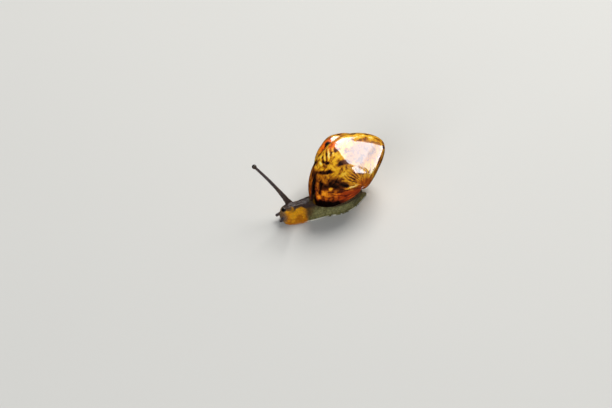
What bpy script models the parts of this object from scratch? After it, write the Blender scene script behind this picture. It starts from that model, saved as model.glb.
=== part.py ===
import math

import bmesh
import bpy
import numpy as np
from mathutils import Matrix, Vector

# A land snail, still and life-size. It heads along -Y with its left side on +X, and its
# sole lies on Z = 0 with the origin under the middle of the sole.

MM = 0.001
GAP = 0.3 * MM                   # clearance between neighbouring pieces
SHELL_GAP = 0.375 * MM           # clearance between the shell and the flesh

# Shell. An oval tube is swept round an axis and grows by the same factor in every turn.
# Sizes marked "tubes" are in tube half-widths at the aperture.
TUBE = 5.345 * MM                # half-width of the tube at the aperture
GROWTH_PER_TURN = 1.675
TURNS = 3.6
TUBE_FROM_AXIS = 0.77            # tubes, from the axis out to the middle of the tube
TUBE_BELOW_APEX = 2.04           # tubes, from the apex down to the middle of the tube
SPIRE_DOMING = 1.37              # 1 gives a pointed spire, more a blunt one
TUBE_TO_SPIRE = 0.85             # tubes, half-height on the side of the spire
TUBE_TO_BASE = 0.69              # tubes, half-height on the side of the base
TUBE_LEAN = math.radians(7)
TUBE_SQUARENESS = 2.20           # 2 is an ellipse
COLUMELLA = (0.74, 1.18, 1.21)   # tubes: radius, depth below the apex, half-length
SUTURE_SOFTNESS = 0.035          # tubes, over which neighbouring turns blend
COLUMELLA_SOFTNESS = 0.29        # tubes, over which the columella blends into the base
NAVEL_DEPTH = 2.42               # tubes below the apex where the base closes on the axis
NAVEL_SPREAD = math.radians(34)  # over which the base closes in, seen from the heart
SHELL_HEART = 1.60               # tubes, depth of the point that the outline is measured from
FARTHEST_REACH = 3.2             # tubes, farther from the heart than any of the outline
REACH_STEPS = 4000
SHELL_COLUMNS = 68
SHELL_ROWS = 38
LIP_TURN = 0.02                  # radians taken by the face of the aperture

# How the shell is carried: its axis points to the snail's right and its aperture down.
APERTURE_CENTRE = Vector((2.08, 2.30, 5.73)) * MM
SHELL_TURN = math.radians(-13)
SHELL_TIP = math.radians(84.5)
SHELL_HEADING = math.radians(272.3)

# Where this shell is a little flatter than its coil. Each place is a direction from the
# shell's middle, in degrees round Z and up, then millimetres to where the flattening
# starts and millimetres over which it fades in.
SHELL_MIDDLE = Vector((-1.08, 4.44, 7.15)) * MM
FLATTER = ((146.6, 49.7, 5.39, 2.85), (51.4, -15.7, 4.92, 3.00), (31.3, 38.4, 5.51, 1.66))

# Body, by stations along Y in millimetres: half-width of the sole, half-width of the
# flank, height of the back, lift of the underside, sideways bend.
BODY = (
    (-8.05, 0.30, 0.35, 1.95, 1.00, 0.00),
    (-7.80, 1.00, 1.05, 2.85, 0.45, 0.00),
    (-7.20, 1.42, 1.45, 3.35, 0.10, 0.00),
    (-6.30, 1.70, 1.60, 3.55, 0.00, 0.00),
    (-4.80, 2.00, 1.62, 3.50, 0.00, 0.00),
    (-2.80, 2.18, 1.80, 3.65, 0.00, 0.00),
    (0.00, 2.30, 2.15, 3.95, 0.00, 0.00),
    (2.80, 2.60, 2.35, 4.70, 0.00, 0.08),
    (5.00, 2.30, 2.05, 3.40, 0.00, 0.10),
    (7.00, 1.45, 1.20, 1.55, 0.00, -0.10),
    (9.20, 0.32, 0.30, 0.50, 0.00, -0.60),
)
FLARE_HEIGHT = 0.55              # mm over which the sole's margin narrows to the flank
BODY_ROUNDNESS = 0.80
SECTION_POINTS = 20
HEAD_CUTTER_RINGS = 18
SEGMENTS = (                     # node, first and last station along Y in mm, lengths
    ("head", -8.05, -5.60, 9),
    ("neck", -5.60, -2.70, 6),
    ("trunk", -2.70, 2.40, 8),
    ("foot_rear", 2.40, 6.20, 8),
    ("tail", 6.20, 9.20, 6),
)

COLLAR_DEPTHS = ((0.35, 0.84), (0.52, 0.91), (0.85, 0.88), (1.10, 0.74))  # mm, share of tube
COLLAR_SIDES = 36
COLLAR_FROM_AXIS = 0.12          # tubes, kept clear round the shell's axis

# Feelers: base, bend and tip in mm, then radii at the base, the bend and below the eye.
UPPER_FEELERS = {
    "right": ((-0.80, -5.95, 2.90), (-1.95, -8.30, 6.90), (-3.75, -11.00, 10.55), 0.55, 0.34, 0.26),
    "left": ((0.80, -6.25, 2.85), (2.25, -7.65, 4.65), (4.10, -9.20, 6.50), 0.55, 0.38, 0.29),
}
LOWER_FEELERS = {
    "right": ((-0.55, -7.40, 1.75), (-0.75, -8.00, 1.40), (-0.95, -8.55, 1.00), 0.30, 0.28, 0.26),
    "left": ((0.55, -7.40, 1.75), (0.75, -8.00, 1.40), (0.95, -8.55, 1.00), 0.30, 0.28, 0.26),
}
FEELER_LENGTHS = ("base", "middle", "tip")
RINGS_PER_LENGTH = 7
UPPER_FEELER_SIDES = 12
LOWER_FEELER_SIDES = 10
LOWER_FEELER_RINGS = 6
FEELER_BEND = 0.45               # share of an upper feeler's length from base to bend
EYE_BULB = 0.42 * MM
EYE_COLUMNS = 14
EYE_ROWS = 9


def material(name, colour, roughness):
    made = bpy.data.materials.new(name)
    made.use_nodes = True
    shader = made.node_tree.nodes["Principled BSDF"]
    shader.inputs["Base Color"].default_value = (*colour, 1.0)
    shader.inputs["Roughness"].default_value = roughness
    shader.inputs["Metallic"].default_value = 0.0
    return made


def add_object(name, mesh_bm, collection, finish):
    bmesh.ops.recalc_face_normals(mesh_bm, faces=mesh_bm.faces)
    mesh = bpy.data.meshes.new(name)
    mesh_bm.to_mesh(mesh)
    mesh_bm.free()
    made = bpy.data.objects.new(name, mesh)
    mesh.materials.append(finish)
    mesh.shade_smooth()
    mesh.set_sharp_from_angle(angle=math.radians(40))
    collection.objects.link(made)
    return made


def in_tube(radius, depth, size):
    """Whether points of a half-plane through the axis lie in the tube of this size."""
    across = radius / size - TUBE_FROM_AXIS
    along = (depth + TUBE_BELOW_APEX * size ** SPIRE_DOMING) / size
    u = across * math.cos(TUBE_LEAN) + along * math.sin(TUBE_LEAN)
    v = -across * math.sin(TUBE_LEAN) + along * math.cos(TUBE_LEAN)
    half = np.where(v > 0, TUBE_TO_SPIRE, TUBE_TO_BASE)
    return np.abs(u) ** TUBE_SQUARENESS + np.abs(v / half) ** TUBE_SQUARENESS < 1.0


def in_columella(radius, depth):
    """Whether points lie in the lower half of the spindle at the shell's core."""
    core_radius, core_depth, core_half = COLUMELLA
    inside = (radius / core_radius) ** 2 + ((depth + core_depth) / core_half) ** 2 < 1.0
    return inside & (depth < -core_depth)


def soft_largest(values, softness):
    return softness * float(np.log(np.sum(np.exp(np.array(values) / softness))))


def shell_reach(azimuth, polar):
    """Distance from the shell's heart to its outside, in tubes, along one direction."""
    steps = np.linspace(0.0, FARTHEST_REACH, REACH_STEPS)
    radius, depth = steps * math.sin(polar), steps * math.cos(polar) - SHELL_HEART
    turns_back = np.arange(azimuth / (2.0 * math.pi), TURNS, 1.0)
    turns = [in_tube(radius, depth, GROWTH_PER_TURN ** -turn) for turn in turns_back]
    coil = soft_largest([np.max(steps * hit) for hit in turns], SUTURE_SOFTNESS)
    core = np.max(steps * in_columella(radius, depth))
    reach = soft_largest((coil, core), COLUMELLA_SOFTNESS)
    share = min(1.0, (math.pi - polar) / NAVEL_SPREAD)
    pole = NAVEL_DEPTH - SHELL_HEART
    return pole + (reach - pole) * share * share * (3.0 - 2.0 * share)


def shell_placement():
    """Matrix from the shell's own axes (apex at the origin, +Z to the apex) to the snail's."""
    turn = (Matrix.Rotation(SHELL_HEADING, 4, "Z") @ Matrix.Rotation(SHELL_TIP, 4, "X")
            @ Matrix.Rotation(SHELL_TURN, 4, "Z"))
    centre = Vector((TUBE_FROM_AXIS, 0.0, -TUBE_BELOW_APEX)) * TUBE
    return Matrix.Translation(APERTURE_CENTRE - turn @ centre) @ turn


def flattened(point):
    """The point after the shell's flatter places have drawn it in."""
    for heading, rise, start, fade in FLATTER:
        heading, rise, start, fade = math.radians(heading), math.radians(rise), start * MM, fade * MM
        toward = Vector((math.cos(rise) * math.cos(heading), math.cos(rise) * math.sin(heading),
                         math.sin(rise)))
        beyond = (point - SHELL_MIDDLE).dot(toward) - start
        if beyond > 0.0:
            point = point + toward * (fade * (1.0 - math.exp(-beyond / fade)) - beyond)
    return point


def shell_mesh(grown):
    """Closed outside of the shell, larger all round by grown metres."""
    placement = shell_placement()
    turn = placement.to_3x3()
    shape = bmesh.new()
    bmesh.ops.create_uvsphere(shape, u_segments=SHELL_COLUMNS, v_segments=SHELL_ROWS, radius=1.0)
    for vertex in shape.verts:
        column = round(math.atan2(vertex.co.y, vertex.co.x) / (2.0 * math.pi) * SHELL_COLUMNS)
        azimuth = (column % SHELL_COLUMNS) * (2.0 * math.pi - LIP_TURN) / (SHELL_COLUMNS - 1)
        polar = math.acos(max(-1.0, min(1.0, vertex.co.z)))
        if math.sin(polar) < 1e-4:
            azimuth = 0.0
        outward = Vector((math.sin(polar) * math.cos(azimuth), math.sin(polar) * math.sin(azimuth),
                          math.cos(polar)))
        reach = shell_reach(azimuth, polar) * TUBE
        wall = placement @ (outward * reach - Vector((0.0, 0.0, SHELL_HEART * TUBE)))
        vertex.co = flattened(wall) + turn @ outward * grown
    return shape


def station(y):
    """Sizes of the body at y, all in mm, on a smooth curve through the stations."""
    rows = np.array(BODY)
    slopes = np.gradient(rows[:, 1:], rows[:, 0], axis=0)
    index = int(np.clip(np.searchsorted(rows[:, 0], y) - 1, 0, len(rows) - 2))
    step = rows[index + 1, 0] - rows[index, 0]
    t = (y - rows[index, 0]) / step
    start = (2 * t**3 - 3 * t**2 + 1) * rows[index, 1:] + (t**3 - 2 * t**2 + t) * step * slopes[index]
    end = (3 * t**2 - 2 * t**3) * rows[index + 1, 1:] + (t**3 - t**2) * step * slopes[index + 1]
    return start + end


def body_section(y, grown=0.0):
    """One closed outline of the body: a flat sole, a flared margin and a rounded back."""
    sole, flank, back, lift, bend = station(y) + np.array((grown, grown, grown, -grown, 0.0))
    points = []
    for index in range(SECTION_POINTS):
        angle = math.pi * index / (SECTION_POINTS - 1)
        rise = math.sin(angle) ** BODY_ROUNDNESS if 0 < index < SECTION_POINTS - 1 else 0.0
        height = (back - lift) * rise
        width = flank + (sole - flank) * math.exp(-((height / FLARE_HEIGHT) ** 2))
        points.append(Vector((bend + width * math.cos(angle), y, lift + height)) * MM)
    return points


def loft(rings):
    """A closed solid through rings of points, with a flat face on the first and last ring."""
    shape = bmesh.new()
    made = [[shape.verts.new(point) for point in ring] for ring in rings]
    for ring, following in zip(made, made[1:]):
        for index in range(len(ring)):
            after = (index + 1) % len(ring)
            shape.faces.new((ring[index], ring[after], following[after], following[index]))
    shape.faces.new(made[0])
    shape.faces.new(made[-1])
    return shape


def cut_by(made, cutter):
    cut = made.modifiers.new("clearance", "BOOLEAN")
    cut.operation = "DIFFERENCE"
    cut.solver = "EXACT"
    cut.object = cutter


def build_body(parts, cutter, finish):
    for name, first, last, lengths in SEGMENTS:
        start = first if first == BODY[0][0] else first + 0.5 * GAP / MM
        end = last if last == BODY[-1][0] else last - 0.5 * GAP / MM
        rings = [body_section(y) for y in np.linspace(start, end, lengths)]
        made = add_object(name, loft(rings), parts, finish)
        if name in ("trunk", "foot_rear", "tail"):
            cut_by(made, cutter)


def build_collar(parts, cutter, finish):
    """The thick edge of the mantle, which closes the aperture round the body."""
    placement = shell_placement()
    rings = []
    for depth, share in COLLAR_DEPTHS:
        ring = []
        for index in range(COLLAR_SIDES):
            angle = 2.0 * math.pi * index / COLLAR_SIDES
            u = share * math.cos(angle)
            half = TUBE_TO_SPIRE if math.sin(angle) > 0 else TUBE_TO_BASE
            v = share * half * math.sin(angle)
            radius = TUBE_FROM_AXIS + u * math.cos(TUBE_LEAN) - v * math.sin(TUBE_LEAN)
            height = -TUBE_BELOW_APEX + u * math.sin(TUBE_LEAN) + v * math.cos(TUBE_LEAN)
            local = Vector((max(radius, COLLAR_FROM_AXIS) * TUBE, -depth * MM, height * TUBE))
            ring.append(placement @ local)
        rings.append(ring)
    made = add_object("mantle_collar", loft(rings), parts, finish)
    cut_by(made, cutter)


def feeler_curve(points, count):
    """Points on the arc-like curve through a feeler's base, bend and tip."""
    base, bend, tip = (Vector(point) * MM for point in points)
    control = 2.0 * bend - 0.5 * (base + tip)
    shares = [index / (count - 1) for index in range(count)]
    return [base * (1 - t) ** 2 + control * 2 * t * (1 - t) + tip * t ** 2 for t in shares]


def radii_along(shares, bend, thick, middle, thin):
    """Radii in metres at these shares of a feeler's length."""
    return [float(MM * np.interp(share, (0.0, bend, 1.0), (thick, middle, thin))) for share in shares]


def tube_rings(centres, radii, sides):
    """Round rings square to a run of centres."""
    rings = []
    for index, centre in enumerate(centres):
        ahead = centres[min(index + 1, len(centres) - 1)]
        behind = centres[max(index - 1, 0)]
        along = (ahead - behind).normalized()
        across = along.cross(Vector((0.0, 0.0, 1.0))).normalized()
        up = across.cross(along)
        turns = [2.0 * math.pi * side / sides for side in range(sides)]
        rings.append([centre + (across * math.cos(turn) + up * math.sin(turn)) * radii[index]
                      for turn in turns])
    return rings


def build_feelers(parts, head_cutter, flesh, bulb_finish):
    for side, (base, bend, tip, thick, middle, thin) in UPPER_FEELERS.items():
        centres = feeler_curve((base, bend, tip), RINGS_PER_LENGTH * len(FEELER_LENGTHS) + 1)
        shares = np.linspace(0.0, 1.0, len(centres))
        radii = radii_along(shares, FEELER_BEND, thick, middle, thin)
        for length, name in enumerate(FEELER_LENGTHS):
            run = slice(RINGS_PER_LENGTH * length, RINGS_PER_LENGTH * (length + 1))
            rings = tube_rings(centres[run], radii[run], UPPER_FEELER_SIDES)
            made = add_object(f"upper_feeler_{side}_{name}", loft(rings), parts, flesh)
            if name == "base":
                cut_by(made, head_cutter)
        eye = bmesh.new()
        bmesh.ops.create_uvsphere(eye, u_segments=EYE_COLUMNS, v_segments=EYE_ROWS, radius=EYE_BULB)
        along = (centres[-1] - centres[-2]).normalized()
        place = centres[-1] + along * (EYE_BULB + 0.5 * GAP)
        eye.transform(Matrix.Translation(place))
        add_object(f"eye_{side}", eye, parts, bulb_finish)
    for side, (base, bend, tip, thick, middle, thin) in LOWER_FEELERS.items():
        centres = feeler_curve((base, bend, tip), LOWER_FEELER_RINGS)
        shares = np.linspace(0.0, 1.0, len(centres))
        radii = radii_along(shares, 0.5, thick, middle, thin)
        rings = tube_rings(centres, radii, LOWER_FEELER_SIDES)
        made = add_object(f"lower_feeler_{side}", loft(rings), parts, flesh)
        cut_by(made, head_cutter)


for leftover in list(bpy.data.objects):
    bpy.data.objects.remove(leftover)

parts = bpy.data.collections.new("land_snail")
cutters = bpy.data.collections.new("cutters")
bpy.context.scene.collection.children.link(parts)
bpy.context.scene.collection.children.link(cutters)

shell_finish = material("amber_shell", (0.45, 0.20, 0.04), 0.15)
flesh_finish = material("olive_flesh", (0.22, 0.20, 0.12), 0.35)
bulb_finish = material("eye_bulb", (0.06, 0.05, 0.05), 0.25)

around_shell = add_object("shell_clearance", shell_mesh(SHELL_GAP), cutters, shell_finish)
head_stations = np.linspace(SEGMENTS[0][1], SEGMENTS[1][2], HEAD_CUTTER_RINGS)
head_rings = [body_section(y, GAP / MM) for y in head_stations]
around_head = add_object("head_clearance", loft(head_rings), cutters, flesh_finish)
for cutter in (around_shell, around_head):
    cutter.hide_render = True
    cutter.display_type = "WIRE"

add_object("shell", shell_mesh(0.0), parts, shell_finish)
build_body(parts, around_shell, flesh_finish)
build_collar(parts, around_shell, flesh_finish)
build_feelers(parts, around_head, flesh_finish, bulb_finish)
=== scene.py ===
import math

import bmesh
import bpy
import numpy as np
from mathutils import Matrix, Vector


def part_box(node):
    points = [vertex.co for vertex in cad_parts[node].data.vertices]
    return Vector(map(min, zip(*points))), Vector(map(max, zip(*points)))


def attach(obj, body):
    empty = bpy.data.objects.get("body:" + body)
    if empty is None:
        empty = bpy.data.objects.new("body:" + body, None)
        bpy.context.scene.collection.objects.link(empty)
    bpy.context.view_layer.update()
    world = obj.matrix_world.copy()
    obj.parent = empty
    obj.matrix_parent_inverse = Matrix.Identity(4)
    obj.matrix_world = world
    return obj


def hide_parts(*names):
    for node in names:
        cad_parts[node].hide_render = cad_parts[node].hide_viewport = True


# A young land snail on its way, life-size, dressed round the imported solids.
# Shapes are worked out in millimetres and brought to metres once they are finished.

mm = 0.001
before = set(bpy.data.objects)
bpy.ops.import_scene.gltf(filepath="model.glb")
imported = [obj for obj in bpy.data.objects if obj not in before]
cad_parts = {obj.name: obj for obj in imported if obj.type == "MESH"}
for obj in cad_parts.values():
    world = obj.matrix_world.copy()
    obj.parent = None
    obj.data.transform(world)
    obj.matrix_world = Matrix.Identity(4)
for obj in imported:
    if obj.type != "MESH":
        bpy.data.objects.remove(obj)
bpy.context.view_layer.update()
print("frame loaded,", len(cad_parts), "nodes")


class nodeValue:  # a node's output that can stand in a sum
    def __init__(self, tree, socket):
        self.tree = tree
        self.socket = socket

    def __add__(self, other):
        return calc(self.tree, "ADD", self, other)

    def __sub__(self, other):
        return calc(self.tree, "SUBTRACT", self, other)

    def __rsub__(self, other):
        return calc(self.tree, "SUBTRACT", other, self)

    def __mul__(self, other):
        return calc(self.tree, "MULTIPLY", self, other)

    def __truediv__(self, other):
        return calc(self.tree, "DIVIDE", self, other)

    def __rtruediv__(self, other):
        return calc(self.tree, "DIVIDE", other, self)

    def __pow__(self, other):
        return calc(self.tree, "POWER", self, other)

    __radd__ = __add__
    __rmul__ = __mul__


def socketOf(sockets, name):
    return next(socket for socket in sockets if socket.name == name and socket.enabled)


def plug(value, socket):
    # links a node's output, or sets a plain value
    if isinstance(value, nodeValue):
        value.tree.links.new(value.socket, socket)
    else:
        socket.default_value = value


def addNode(tree, kind, inputs=None, **settings):
    node = tree.nodes.new(kind)
    for name, value in settings.items():
        setattr(node, name, value)
    for name, value in (inputs or {}).items():
        plug(value, socketOf(node.inputs, name))
    return node


def calc(tree, operation, *values):
    node = tree.nodes.new("ShaderNodeMath")
    node.operation = operation
    for value, socket in zip(values, node.inputs):
        plug(value, socket)
    return nodeValue(tree, node.outputs[0])


def ramp(value, low, high, start=0.0, end=1.0, smooth=True):
    # start up to low, end from high on
    node = addNode(value.tree, "ShaderNodeMapRange",
                   {"Value": value, "From Min": low, "From Max": high, "To Min": start, "To Max": end},
                   interpolation_type="SMOOTHSTEP" if smooth else "LINEAR", clamp=True)
    return nodeValue(value.tree, node.outputs[0])


def between(start, end, share):
    return start + (end - start) * share


def bell(value, centre, width):
    # 1 at the centre, falling smoothly to 0
    away = (value - centre) / width
    return calc(value.tree, "EXPONENT", away * away * -1.0)


def clamped(value):
    return ramp(value, 0.0, 1.0, smooth=False)


def vectorOf(tree, x, y, z):
    node = addNode(tree, "ShaderNodeCombineXYZ", {"X": x, "Y": y, "Z": z})
    return nodeValue(tree, node.outputs[0])


def partsOf(vector):
    node = addNode(vector.tree, "ShaderNodeSeparateXYZ")
    plug(vector, node.inputs[0])
    return [nodeValue(vector.tree, output) for output in node.outputs]


def scaled(vector, factor):
    node = addNode(vector.tree, "ShaderNodeVectorMath", operation="SCALE")
    plug(vector, node.inputs[0])
    plug(factor, node.inputs["Scale"])
    return nodeValue(vector.tree, node.outputs[0])


def noise(vector, scale, detail=3.0, roughness=0.5, distortion=0.0):
    node = addNode(vector.tree, "ShaderNodeTexNoise",
                   {"Vector": vector, "Scale": scale, "Detail": detail, "Roughness": roughness,
                    "Distortion": distortion})
    return nodeValue(vector.tree, node.outputs[0])


def cells(vector):
    # 0 along the borders of a mesh of cells about one unit wide, rising to their middles
    node = addNode(vector.tree, "ShaderNodeTexVoronoi",
                   {"Vector": vector, "Scale": 1.0, "Randomness": 1.0}, feature="DISTANCE_TO_EDGE")
    return nodeValue(vector.tree, socketOf(node.outputs, "Distance"))


def tint(start, end, share):
    tree = next(item.tree for item in (start, end, share) if isinstance(item, nodeValue))
    node = addNode(tree, "ShaderNodeMix", data_type="RGBA", clamp_factor=True)
    plug(share, node.inputs[0])
    for value, socket in ((start, node.inputs[6]), (end, node.inputs[7])):
        plug(value if isinstance(value, nodeValue) else (*value, 1.0), socket)
    return nodeValue(tree, node.outputs[2])


def colourRamp(value, stops):
    node = addNode(value.tree, "ShaderNodeValToRGB")
    plug(value, node.inputs[0])
    points = node.color_ramp.elements
    while len(points) < len(stops):
        points.new(0.5)
    for point, (place, colour) in zip(points, stops):
        point.position = place
        point.color = (*colour, 1.0)
    return nodeValue(value.tree, node.outputs[0])


def newMaterial(name, settings):
    made = bpy.data.materials.new(name)
    made.use_nodes = True
    tree = made.node_tree
    shader = tree.nodes["Principled BSDF"]
    for socket, value in settings.items():
        shader.inputs[socket].default_value = value
    return made, tree, shader


def objectPlace(tree):
    return nodeValue(tree, tree.nodes.new("ShaderNodeTexCoord").outputs["Object"])


def attributeOf(tree, name):
    return nodeValue(tree, addNode(tree, "ShaderNodeAttribute", attribute_name=name).outputs["Fac"])


def reliefOf(tree, height, strength, distance):
    node = addNode(tree, "ShaderNodeBump", {"Height": height, "Strength": strength, "Distance": distance})
    return nodeValue(tree, node.outputs[0])


def runTree(made, tree, sizes):
    # gives a geometry tree its sizes, keeps what it makes as a plain mesh
    modifier = made.modifiers.new(tree.name, "NODES")
    modifier.node_group = tree
    for item in tree.interface.items_tree:
        if item.in_out == "INPUT" and item.name in sizes:
            modifier[item.identifier] = sizes[item.name]
    depsgraph = bpy.context.evaluated_depsgraph_get()
    mesh = bpy.data.meshes.new_from_object(made.evaluated_get(depsgraph), depsgraph=depsgraph)
    made.modifiers.clear()
    return mesh


def newTree(name, sizes):
    tree = bpy.data.node_groups.new(name, "GeometryNodeTree")
    tree.interface.new_socket("Geometry", in_out="INPUT", socket_type="NodeSocketGeometry")
    tree.interface.new_socket("Geometry", in_out="OUTPUT", socket_type="NodeSocketGeometry")
    for title, value in sizes.items():
        kind = "NodeSocketInt" if isinstance(value, int) else "NodeSocketFloat"
        socket = tree.interface.new_socket(title, in_out="INPUT", socket_type=kind)
        socket.default_value = value
    entry = tree.nodes.new("NodeGroupInput")
    return tree, {output.name: nodeValue(tree, output) for output in entry.outputs if output.name}


def endTree(tree, geometry, finish):
    real = addNode(tree, "GeometryNodeRealizeInstances")
    dressed = addNode(tree, "GeometryNodeSetMaterial", {"Material": finish})
    leave = tree.nodes.new("NodeGroupOutput")
    tree.links.new(geometry, real.inputs[0])
    tree.links.new(real.outputs[0], dressed.inputs[0])
    tree.links.new(dressed.outputs[0], leave.inputs[0])


def placed(name, data):
    made = bpy.data.objects.new(name, data)
    bpy.context.scene.collection.objects.link(made)
    return made


def meshFrom(shape, name):
    mesh = bpy.data.meshes.new(name)
    shape.to_mesh(mesh)
    shape.free()
    return mesh


def pointsOf(mesh):
    out = np.zeros(len(mesh.vertices) * 3)
    mesh.attributes["position"].data.foreach_get("vector", out)
    return out.reshape(-1, 3)


def pieceOf(name, mesh, replaced):
    made = placed(name, mesh)
    mesh.shade_smooth()
    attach(made, "root")
    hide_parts(*replaced)
    return made


cameraPlan = {
    "azimuth": math.radians(65), "elevation": math.radians(40),
    "lens": 150.0, "sensor": 36.0, "distance": 0.459, "clip": (0.01, 20.0),
    "target": Vector((-1.80, -2.24, 0.81)) * mm,
}


def lookFrom(azimuth, elevation):
    return Vector((math.sin(azimuth) * math.cos(elevation), -math.cos(azimuth) * math.cos(elevation),
                   math.sin(elevation)))


def setCamera():
    data = bpy.data.cameras.new("camera")
    data.lens = cameraPlan["lens"]
    data.sensor_width = cameraPlan["sensor"]
    data.clip_start, data.clip_end = cameraPlan["clip"]
    made = placed("camera", data)
    away = lookFrom(cameraPlan["azimuth"], cameraPlan["elevation"])
    made.location = cameraPlan["target"] + away * cameraPlan["distance"]
    made.rotation_euler = (-away).to_track_quat("-Z", "Y").to_euler()
    bpy.context.scene.camera = made


floorPlan = {"size": 6.0, "colour": (0.62, 0.62, 0.60), "shade": 0.96, "cloudScale": 9.0}


def layFloor():
    shape = bmesh.new()
    bmesh.ops.create_grid(shape, x_segments=1, y_segments=1, size=floorPlan["size"] / 2)
    mesh = meshFrom(shape, "floor")
    finish, tree, shader = newMaterial("paleFloor", {"Roughness": 0.9, "Specular IOR Level": 0.0})
    shaded = tuple(floorPlan["shade"] * part for part in floorPlan["colour"])
    colour = tint(floorPlan["colour"], shaded, noise(objectPlace(tree), floorPlan["cloudScale"]))
    plug(colour, shader.inputs["Base Color"])
    mesh.materials.append(finish)
    made = placed("floor", mesh)
    made.visible_glossy = False


lights = [  # place in metres, size, radiance
    {"name": "softKey", "place": (-0.16, 0.22, 0.42), "size": (0.34, 0.34), "radiance": 7.6,
     "colour": (1.0, 0.98, 0.95)},
    {"name": "frontFill", "place": (0.40, -0.45, 0.30), "size": (0.40, 0.40), "radiance": 4.6,
     "colour": (0.97, 0.98, 1.0), "unseen": True},
    {"name": "sparkle", "place": (-0.188, 0.082, 0.45), "size": (0.05, 0.05), "radiance": 55.0,
     "colour": (0.92, 0.96, 1.0), "glossOnly": True},  # the wet skin and the eyes mirror it
]
cards = [  # bright panels that only the gloss of the shell sees, corners in metres
    {"name": "skyCard", "radiance": 11.0, "colour": (0.93, 0.95, 1.0), "corners": (
        (1.50, 1.90, 0.30), (1.50, 1.70, 0.30), (0.72, 0.465, 0.30), (0.40, 0.175, 0.30),
        (0.17, 0.025, 0.30), (0.08, -0.035, 0.30), (-0.01, -0.076, 0.30), (-0.18, -0.095, 0.30),
        (-0.94, -0.04, 0.30), (-0.88, 0.119, 0.30), (-0.33, 0.163, 0.30), (-0.16, 0.20, 0.30),
        (-0.013, 0.262, 0.30), (0.078, 0.405, 0.30), (0.176, 0.77, 0.30), (0.33, 1.90, 0.30))},
    {"name": "horizonCard", "radiance": 7.5, "colour": (0.93, 0.95, 1.0), "corners": (
        (0.33, 1.90, 0.30), (0.20, 1.90, 0.10), (-0.05, 1.90, -0.25), (-0.25, 1.90, -0.50),
        (-0.15, 1.90, -0.80), (0.05, 1.90, -1.00), (0.45, 1.90, -0.92), (0.85, 1.90, -0.80),
        (0.95, 1.90, -0.45), (1.15, 1.90, -0.25), (1.30, 1.90, 0.05), (1.50, 1.90, 0.30))},
    {"name": "windowCard", "radiance": 12.0, "colour": (1.0, 1.0, 1.0), "corners": (
        (1.38, 1.90, -0.42), (2.60, 1.90, -0.42), (2.80, 1.90, 0.45), (1.62, 1.90, 0.45))},
]
worldPlan = {"colour": (0.80, 0.83, 0.86), "strength": 0.22}


def setLights():
    for plan in lights:
        data = bpy.data.lights.new(plan["name"], "AREA")
        data.shape = "RECTANGLE"
        data.size, data.size_y = plan["size"]
        data.energy = plan["radiance"] * math.pi * data.size * data.size_y
        data.color = plan["colour"]
        made = placed(plan["name"], data)
        made.location = plan["place"]
        made.rotation_euler = (-Vector(plan["place"])).to_track_quat("-Z", "Y").to_euler()
        made.visible_camera = False
        made.visible_glossy = not plan.get("unseen", False)
        made.visible_diffuse = not plan.get("glossOnly", False)
    world = bpy.data.worlds.new("softRoom")
    world.use_nodes = True
    background = world.node_tree.nodes["Background"]
    background.inputs["Color"].default_value = (*worldPlan["colour"], 1.0)
    background.inputs["Strength"].default_value = worldPlan["strength"]
    world.cycles_visibility.glossy = False
    bpy.context.scene.world = world
    bpy.context.scene.view_settings.view_transform = "Standard"


def hangCards():
    for plan in cards:
        mesh = bpy.data.meshes.new(plan["name"])
        corners = [Vector(corner) for corner in plan["corners"]]
        mesh.from_pydata(corners, [], [range(len(corners))])
        finish = bpy.data.materials.new(plan["name"])
        finish.use_nodes = True
        tree = finish.node_tree
        tree.nodes.clear()
        glow = addNode(tree, "ShaderNodeEmission",
                       {"Color": (*plan["colour"], 1.0), "Strength": plan["radiance"]})
        leave = tree.nodes.new("ShaderNodeOutputMaterial")
        tree.links.new(glow.outputs[0], leave.inputs["Surface"])
        mesh.materials.append(finish)
        made = placed(plan["name"], mesh)
        made.visible_camera = made.visible_diffuse = made.visible_shadow = False
        yield made


setCamera()
layFloor()
setLights()
stageCards = list(hangCards())
print("camera, floor and lights set")


# The shell: a tube swept round the axis, growing by the same factor each turn. Only the part of each
# turn that shows is made: a strip from its upper seam to its lower one, where it meets the
# next turn, and down to the navel on the last turn. The mouth is a rounded lip round a hollow.
shellSizes = {  # lengths in tube half-widths, angles in radians
    "Tube Half Width": 5.345,  # mm
    "Growth Per Turn": 1.675,
    "Turns": 3.48,
    "Tube From Axis": 0.77,
    "Tube Below Apex": 2.04,
    "Spire Doming": 1.37,
    "Height To Spire": 0.85,
    "Height To Base": 0.69,
    "Tube Lean": math.radians(7),
    "Tube Squareness": 2.20,
    "Navel Depth": 2.42,
    "Apex Depth": 0.05,
    "Seam Angle": math.radians(70),
    "Apex Seam Angle": math.radians(132),
    "Cover Angle": math.radians(-34.5),  # where the next turn covers the newest one
    "Cover Rise": 0.471,
    "Cover Easing": 0.0593,
    "Base Angle": math.radians(-144.3),
    "Columns Per Turn": 700,
    "Rows": 64,
    "Spire Rows": 24,
    "Rings In Mouth": 14,
    "Rings On Lip": 3,
    "Rings To Floor": 7,
    "Lip Thickness": 0.05,
    "Lip Bulge": 0.04,
    "Mouth Depth": 0.03,  # turns
    "Weld Distance": 0.0003,  # mm
    "Lines Per Turn": 118.0,
    "Waves Per Turn": 26.0,
    "Wrinkle Height": 0.035,  # mm
}
shellCarriage = {  # how the shell sits on the body: its axis to the right, its mouth down
    "mouthCentre": Vector((2.08, 2.30, 5.73)),
    "turn": math.radians(-13), "tip": math.radians(84.5), "heading": math.radians(272.3),
    "middle": Vector((-1.08, 4.44, 7.15)),
    # where this shell is flatter than its coil: heading, rise, start and fade
    "flatter": ((146.6, 49.7, 5.39, 2.85), (51.4, -15.7, 4.92, 3.00), (31.3, 38.4, 5.51, 1.66)),
}


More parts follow.
